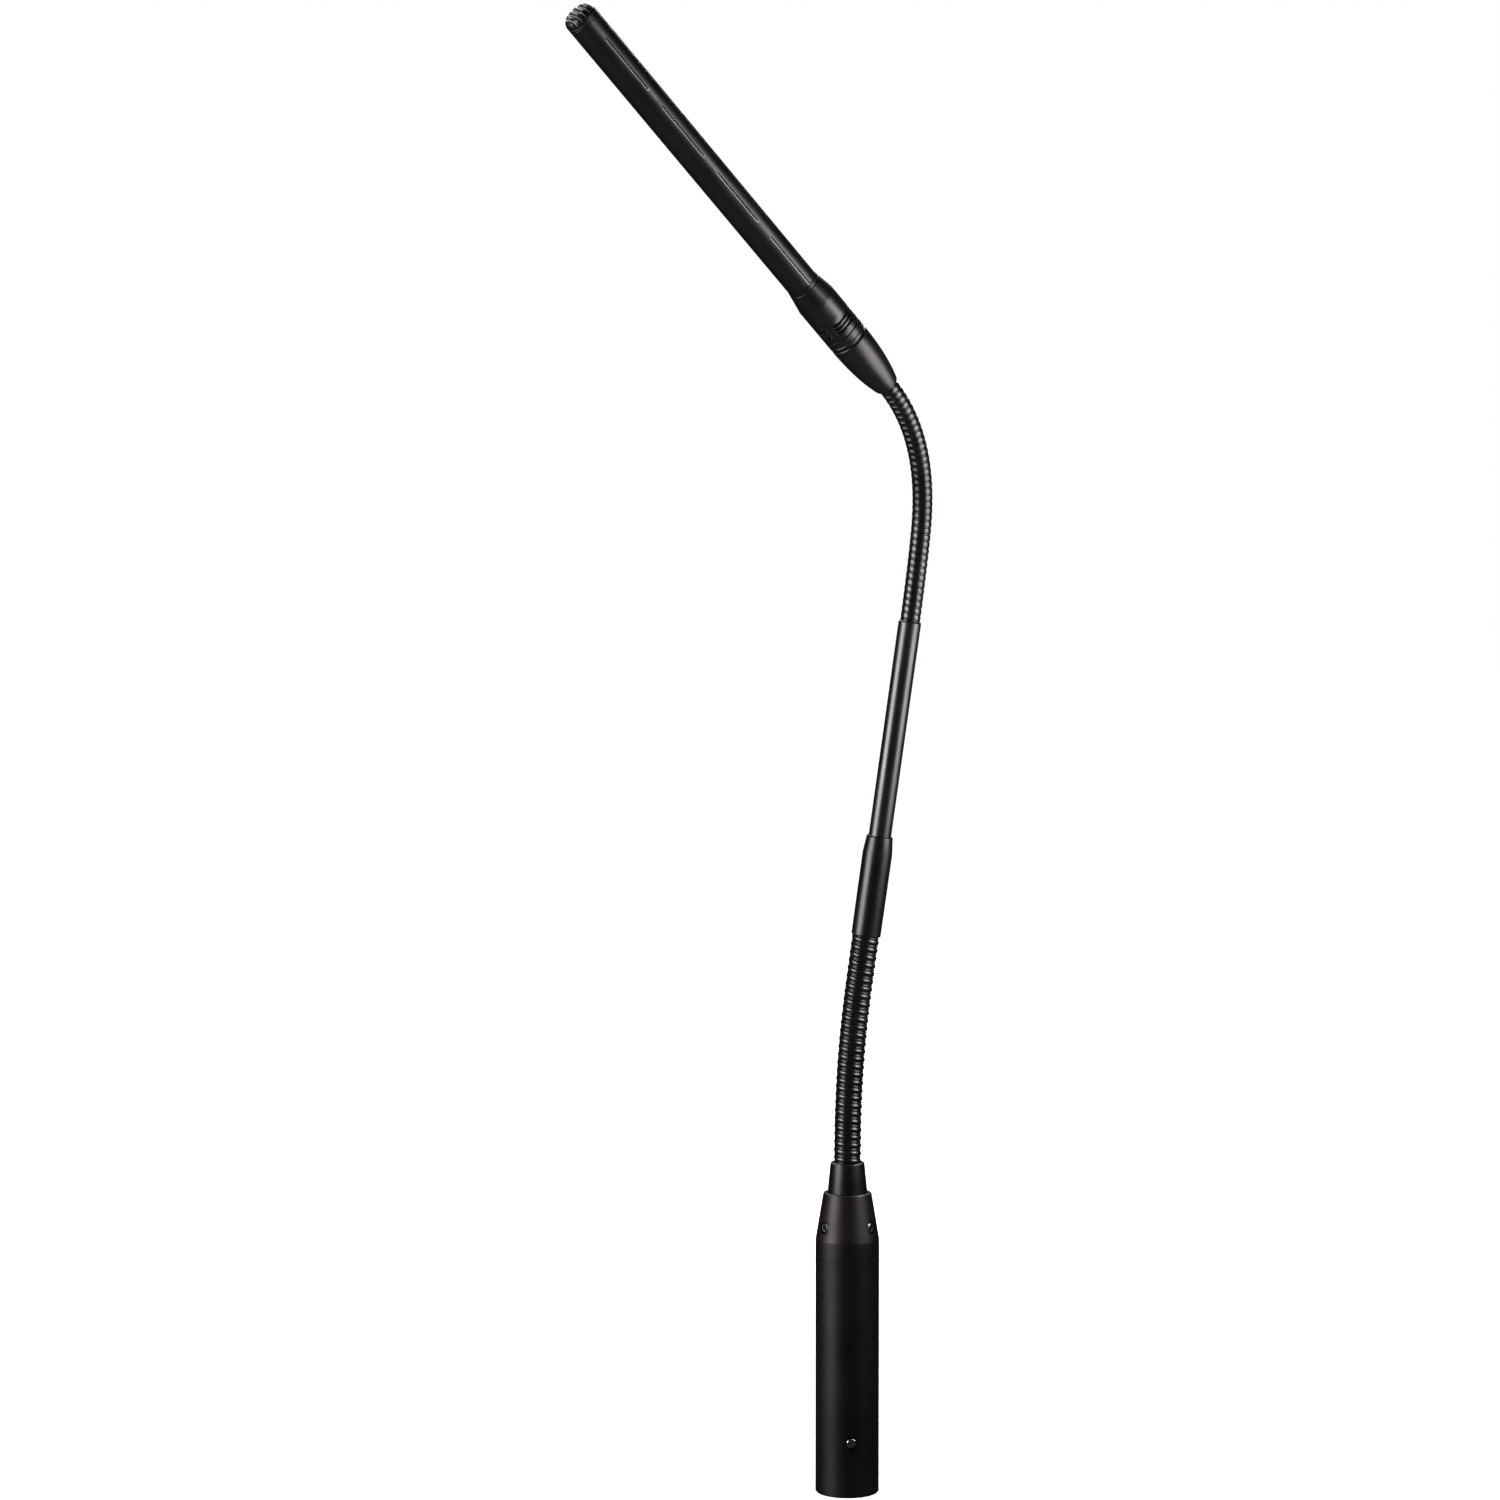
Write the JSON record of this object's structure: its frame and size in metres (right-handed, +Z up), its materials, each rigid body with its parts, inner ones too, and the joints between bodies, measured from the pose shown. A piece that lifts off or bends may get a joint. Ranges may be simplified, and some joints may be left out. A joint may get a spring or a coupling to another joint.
{
  "type": "gooseneck podium microphone",
  "caption": "Slim shotgun microphone head with slots and a grooved cap, on two goosenecks joined by a rigid stem, above a round plug-in connector base.",
  "frame": {"origin": "centre of the connector's bottom rim", "axes": "+Z up along the connector barrel, -Y the side that the insert's screw faces and that the head leans to"},
  "size_m": [0.1024, 0.1065, 0.4257],
  "materials": {
    "barrel_paint": "matte warm black",
    "head_paint": "satin warm black",
    "stem_paint": "semi-gloss black",
    "neck_finish": "semi-gloss black wound wire",
    "bright_steel": "plated",
    "black_steel": "black oxide",
    "contact_metal": "silver plated",
    "insulator": "moulded black",
    "circuit_board": "green solder mask",
    "cable_jacket": "matte",
    "acoustic_cloth": "woven"
  },
  "bodies": {
    "base": {"connector_barrel": "barrel_paint", "xlr_insert": "insulator", "contact_pin_1": "contact_metal", "contact_pin_2": "contact_metal", "contact_pin_3": "contact_metal", "insert_screw": "bright_steel", "ground_spring": "contact_metal", "preamp_board": "circuit_board", "output_transformer": "bright_steel", "coupling_capacitor": "insulator", "neck_cone": "barrel_paint", "neck_screw_1": "black_steel", "neck_screw_2": "black_steel", "neck_screw_3": "black_steel", "neck_ferrule": "barrel_paint", "lower_neck_1": "neck_finish", "signal_cable_1": "cable_jacket"},
    "lower_link_1": {"lower_neck_2": "neck_finish", "signal_cable_2": "cable_jacket"},
    "lower_link_2": {"lower_neck_3": "neck_finish", "signal_cable_3": "cable_jacket"},
    "lower_link_3": {"lower_neck_4": "neck_finish", "signal_cable_4": "cable_jacket"},
    "lower_link_4": {"lower_neck_5": "neck_finish", "signal_cable_5": "cable_jacket"},
    "lower_link_5": {"lower_neck_6": "neck_finish", "signal_cable_6": "cable_jacket"},
    "stem": {"lower_neck_7": "neck_finish", "coupling_sleeve": "stem_paint", "stem_tube": "stem_paint", "upper_neck_1": "neck_finish", "signal_cable_7": "cable_jacket"},
    "upper_link_1": {"upper_neck_2": "neck_finish", "signal_cable_8": "cable_jacket"},
    "upper_link_2": {"upper_neck_3": "neck_finish", "signal_cable_9": "cable_jacket"},
    "upper_link_3": {"upper_neck_4": "neck_finish", "signal_cable_10": "cable_jacket"},
    "upper_link_4": {"upper_neck_5": "neck_finish", "signal_cable_11": "cable_jacket"},
    "upper_link_5": {"upper_neck_6": "neck_finish", "signal_cable_12": "cable_jacket"},
    "upper_link_6": {"upper_neck_7": "neck_finish", "signal_cable_13": "cable_jacket"},
    "upper_link_7": {"upper_neck_8": "neck_finish", "signal_cable_14": "cable_jacket"},
    "head": {"upper_neck_9": "neck_finish", "rear_housing": "head_paint", "neck_bush": "contact_metal", "lock_ring": "head_paint", "capsule_housing": "head_paint", "contact_board": "circuit_board", "contact_spring": "contact_metal", "port_screen": "acoustic_cloth", "capsule": "bright_steel", "interference_tube": "head_paint", "tube_liner": "acoustic_cloth", "front_cap": "head_paint", "front_screen": "acoustic_cloth", "signal_cable_15": "cable_jacket"}
  },
  "joints": [
    {"name": "lower_bend_1", "type": "hinge", "parent": "base", "child": "lower_link_1", "pos_m": [0.00003, -0.00001, 0.10375], "axis": [0.5441, -0.839, -0.0076], "range_deg": [-15, 15]},
    {"name": "lower_side_1", "type": "hinge", "parent": "lower_link_1", "child": "lower_link_2", "pos_m": [0.00026, -0.00008, 0.11525], "axis": [0.8378, 0.5456, -0.022], "range_deg": [-15, 15]},
    {"name": "lower_bend_2", "type": "hinge", "parent": "lower_link_2", "child": "lower_link_3", "pos_m": [0.00081, -0.00026, 0.12674], "axis": [0.5451, -0.8368, -0.0514], "range_deg": [-15, 15]},
    {"name": "lower_side_2", "type": "hinge", "parent": "lower_link_3", "child": "lower_link_4", "pos_m": [0.00173, -0.00055, 0.1382], "axis": [0.8337, 0.5486, -0.0634], "range_deg": [-15, 15]},
    {"name": "lower_bend_3", "type": "hinge", "parent": "lower_link_4", "child": "lower_link_5", "pos_m": [0.00301, -0.00099, 0.14962], "axis": [0.5414, -0.8343, -0.1038], "range_deg": [-15, 15]},
    {"name": "lower_side_3", "type": "hinge", "parent": "lower_link_5", "child": "stem", "pos_m": [0.00452, -0.00152, 0.16101], "axis": [0.8307, 0.5499, -0.0866], "range_deg": [-15, 15]},
    {"name": "upper_bend_1", "type": "hinge", "parent": "stem", "child": "upper_link_1", "pos_m": [0.01855, -0.00673, 0.2643], "axis": [0.5385, -0.8331, -0.1264], "range_deg": [-20, 20]},
    {"name": "upper_side_1", "type": "hinge", "parent": "upper_link_1", "child": "upper_link_2", "pos_m": [0.01967, -0.00747, 0.27344], "axis": [0.8355, 0.5475, -0.0467], "range_deg": [-15, 15]},
    {"name": "upper_bend_2", "type": "hinge", "parent": "upper_link_2", "child": "upper_link_3", "pos_m": [0.02065, -0.0084, 0.28258], "axis": [0.537, -0.8303, -0.1489], "range_deg": [-20, 20]},
    {"name": "upper_side_2", "type": "hinge", "parent": "upper_link_3", "child": "upper_link_4", "pos_m": [0.02129, -0.00979, 0.29169], "axis": [0.8416, 0.5328, 0.0882], "range_deg": [-15, 15]},
    {"name": "upper_bend_3", "type": "hinge", "parent": "upper_link_4", "child": "upper_link_5", "pos_m": [0.02105, -0.01214, 0.30062], "axis": [0.5499, -0.8103, -0.2027], "range_deg": [-20, 20]},
    {"name": "upper_side_3", "type": "hinge", "parent": "upper_link_5", "child": "upper_link_6", "pos_m": [0.01968, -0.01518, 0.30923], "axis": [0.8007, 0.4666, 0.3757], "range_deg": [-15, 15]},
    {"name": "upper_bend_4", "type": "hinge", "parent": "upper_link_6", "child": "upper_link_7", "pos_m": [0.01702, -0.01879, 0.31729], "axis": [0.5611, -0.8117, -0.1619], "range_deg": [-20, 20]},
    {"name": "upper_side_4", "type": "hinge", "parent": "upper_link_7", "child": "head", "pos_m": [0.01296, -0.02285, 0.32451], "axis": [0.656, 0.3311, 0.6783], "range_deg": [-15, 15]}
  ],
  "couplings": [
    {"joint": "lower_bend_2", "follows": "lower_bend_1", "ratio": 1},
    {"joint": "lower_side_2", "follows": "lower_side_1", "ratio": 1},
    {"joint": "lower_bend_3", "follows": "lower_bend_1", "ratio": 1},
    {"joint": "lower_side_3", "follows": "lower_side_1", "ratio": 1},
    {"joint": "upper_bend_2", "follows": "upper_bend_1", "ratio": 1},
    {"joint": "upper_side_2", "follows": "upper_side_1", "ratio": 1},
    {"joint": "upper_bend_3", "follows": "upper_bend_1", "ratio": 1},
    {"joint": "upper_side_3", "follows": "upper_side_1", "ratio": 1},
    {"joint": "upper_bend_4", "follows": "upper_bend_1", "ratio": 1},
    {"joint": "upper_side_4", "follows": "upper_side_1", "ratio": 1}
  ]
}
